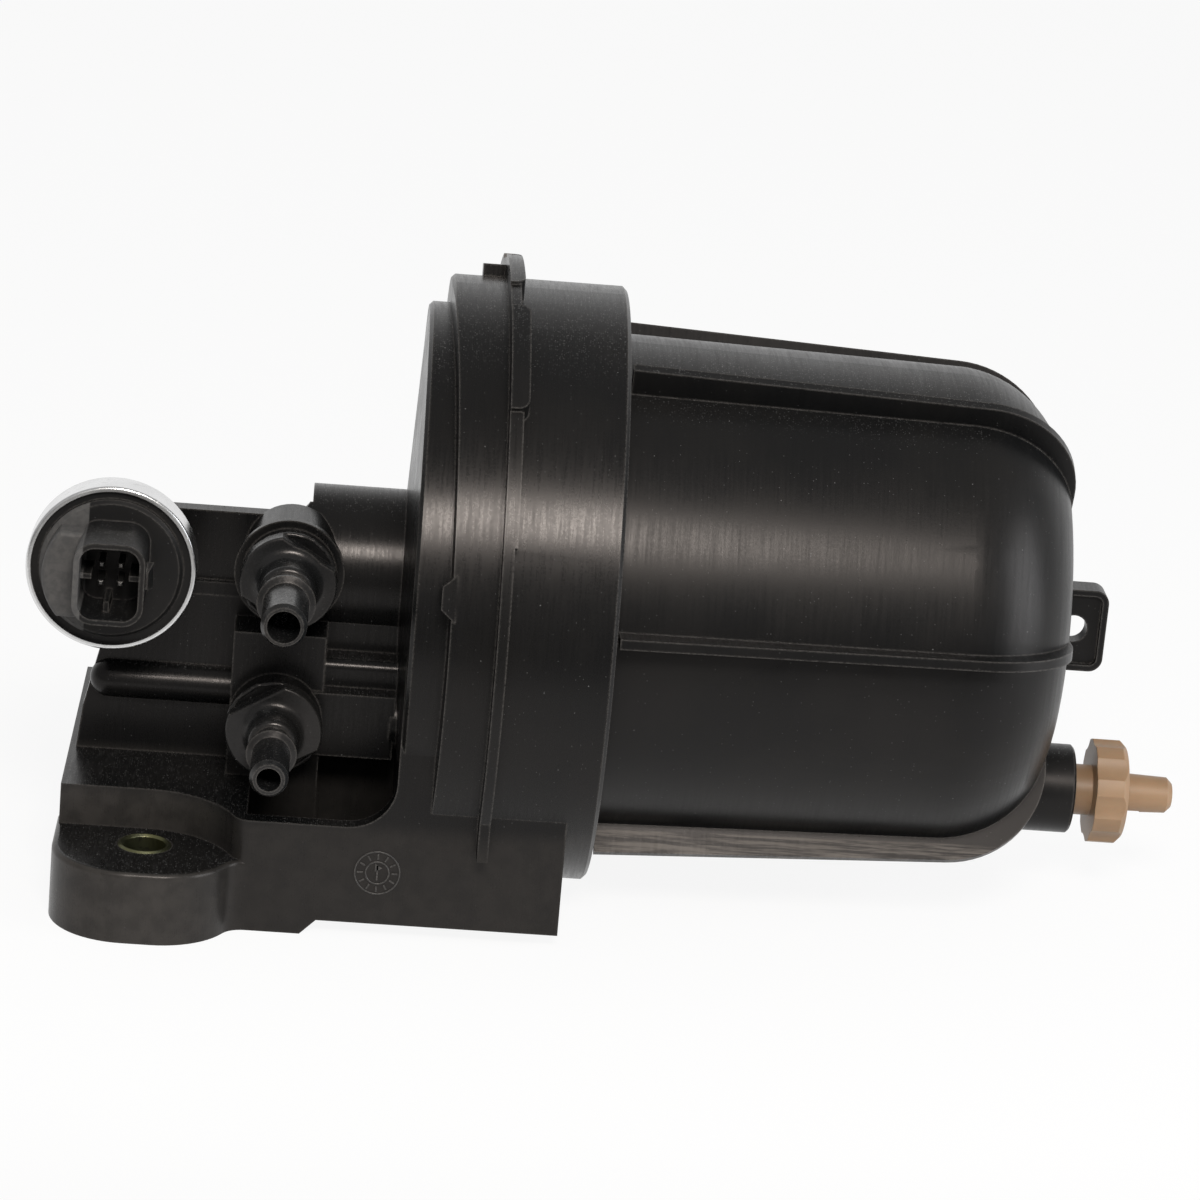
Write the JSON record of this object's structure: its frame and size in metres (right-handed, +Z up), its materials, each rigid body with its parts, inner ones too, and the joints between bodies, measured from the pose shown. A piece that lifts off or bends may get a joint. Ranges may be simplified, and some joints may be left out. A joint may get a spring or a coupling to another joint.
{
  "type": "fuel filter housing",
  "caption": "Fuel filter housing: moulded head with two hose stubs, a pressure sensor plug and mounting ears, and a ribbed screw-in bowl with a water drain screw.",
  "frame": {"origin": "midway between the two mounting holes, on the mounting face", "axes": "+X along the filter's axis from the ports towards the drain, +Z up and square to the mounting face, -Y the side that the ports and the plug point to"},
  "size_m": [0.2522, 0.1376, 0.1346],
  "materials": {
    "head_plastic": "black glass-filled nylon, fine matt grain",
    "bush_steel": "zinc plated, olive-yellow passivate",
    "port_plastic": "black nylon, semi-matt",
    "sensor_steel": "plated steel",
    "seal_rubber": "black fuel-proof rubber",
    "cell_ceramic": "white ceramic",
    "plug_plastic": "black polyester, semi-matt",
    "board_laminate": "green glass laminate",
    "terminal_metal": "tinned brass",
    "crimp_aluminium": "bright drawn aluminium",
    "bowl_plastic": "black nylon, satin",
    "drain_plastic": "tan nylon, semi-matt",
    "cap_plastic": "dark grey nylon",
    "core_plastic": "dark grey nylon",
    "screen_fabric": "fine woven screen",
    "media_paper": "resin-cured yellow filter paper"
  },
  "bodies": {
    "head": {"filter_head": "head_plastic", "mount_bush_front": "bush_steel", "mount_bush_rear": "bush_steel", "supply_port": "port_plastic", "return_port": "port_plastic", "sensor_base": "sensor_steel", "sensor_seal": "seal_rubber", "cell_seal": "seal_rubber", "sensor_cell": "cell_ceramic", "sensor_plug": "plug_plastic", "sensor_board": "board_laminate", "sensor_terminals": "terminal_metal", "crimp_ring": "crimp_aluminium"},
    "neck_ring": {"bowl_seal": "seal_rubber"},
    "bowl": {"filter_bowl": "bowl_plastic", "element_top_cap": "cap_plastic", "element_grommet": "seal_rubber", "element_bottom_cap": "cap_plastic", "element_core": "core_plastic", "water_screen": "screen_fabric", "filter_media": "media_paper"},
    "drain_ring": {"drain_seal": "seal_rubber"},
    "drain": {"drain_valve": "drain_plastic"}
  },
  "joints": [
    {"name": "bowl_slide", "type": "slide", "parent": "head", "child": "neck_ring", "axis": [1, 0, 0], "range_m": [0, 0.012]},
    {"name": "bowl_turn", "type": "hinge", "parent": "neck_ring", "child": "bowl", "pos_m": [0.08, 0, 0.065], "axis": [1, 0, 0], "range_deg": [0, 1080]},
    {"name": "drain_slide", "type": "slide", "parent": "bowl", "child": "drain_ring", "axis": [1, 0, 0], "range_m": [0, 0.00375]},
    {"name": "drain_turn", "type": "hinge", "parent": "drain_ring", "child": "drain", "pos_m": [0.194, 0, 0.025], "axis": [1, 0, 0], "range_deg": [0, 900]}
  ],
  "couplings": [
    {"joint": "bowl_slide", "follows": "bowl_turn", "m_per_rad": 0.0006366},
    {"joint": "drain_slide", "follows": "drain_turn", "m_per_rad": 0.0002387}
  ]
}
